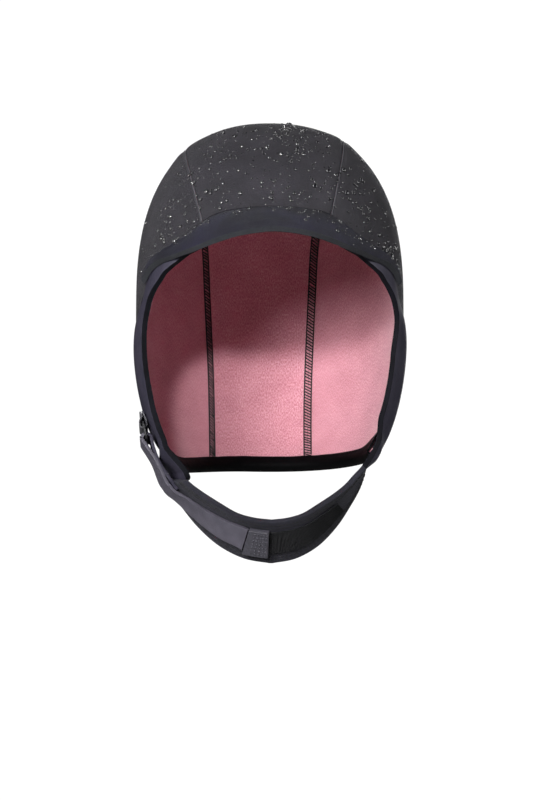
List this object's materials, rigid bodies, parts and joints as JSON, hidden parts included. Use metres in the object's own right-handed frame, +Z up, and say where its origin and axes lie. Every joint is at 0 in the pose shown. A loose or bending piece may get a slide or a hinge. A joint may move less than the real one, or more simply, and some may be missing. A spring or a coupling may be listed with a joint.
{
  "type": "surf cap",
  "caption": "Neoprene hood-style surf cap with a short soft peak, bound nape, fleece lining and a wide chin strap closed by a tongue through a ring.",
  "frame": {"origin": "inside top of the lining, on the cap's middle plane, where the crown of the head carries the cap", "axes": "+Z up out of the crown, -Y forward the way the wearer faces, +X to the wearer's left"},
  "size_m": [0.1542, 0.2154, 0.2544],
  "materials": {
    "crown_neoprene": "jersey-faced neoprene, matte, wet in places",
    "lining_fleece": "heathered pink fleece, matte",
    "band_neoprene": "smooth-skin neoprene, satin",
    "peak_neoprene": "jersey-faced neoprene, matte",
    "hem_binding": "glossy smooth rubber binding",
    "strap_neoprene": "jersey-faced neoprene, matte",
    "loop_fabric": "ribbed hook-and-loop fabric",
    "tongue_webbing": "smooth coated webbing",
    "tab_rubber": "moulded soft rubber with a satin face",
    "ring_plastic": "grey moulded plastic"
  },
  "bodies": {
    "root": {"crown_centre_panel": "crown_neoprene", "crown_side_left": "crown_neoprene", "crown_side_right": "crown_neoprene", "lining_centre": "lining_fleece", "lining_left": "lining_fleece", "lining_right": "lining_fleece", "face_band": "band_neoprene", "peak": "peak_neoprene", "nape_binding": "hem_binding", "chin_strap": "strap_neoprene", "loop_patch": "loop_fabric", "strap_ring": "ring_plastic", "ring_keeper": "tongue_webbing", "strap_tongue": "tongue_webbing", "pull_tab": "tab_rubber"}
  },
  "joints": []
}
